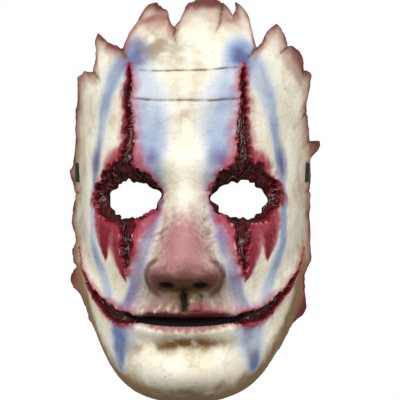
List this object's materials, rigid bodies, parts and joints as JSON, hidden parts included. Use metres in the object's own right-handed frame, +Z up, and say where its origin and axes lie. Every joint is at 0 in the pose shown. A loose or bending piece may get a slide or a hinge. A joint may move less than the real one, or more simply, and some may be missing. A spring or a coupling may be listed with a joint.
{
  "type": "clown mask",
  "caption": "Hollow latex clown face mask with a torn edge, open eyes, cut cheeks, painted stripes and an elastic strap that goes round the back of the head.",
  "frame": {"origin": "the point inside the forehead, on the mask's centre line, where the latex rests on the wearer", "axes": "+Z up towards the top of the forehead, -Y the way the face looks, +X the wearer's left"},
  "size_m": [0.1515, 0.2195, 0.2431],
  "materials": {
    "latex": "matt painted latex with satin wounds",
    "elastic": "matt woven elastic"
  },
  "bodies": {
    "root": {"latex_face": "latex", "head_strap": "elastic"}
  },
  "joints": []
}
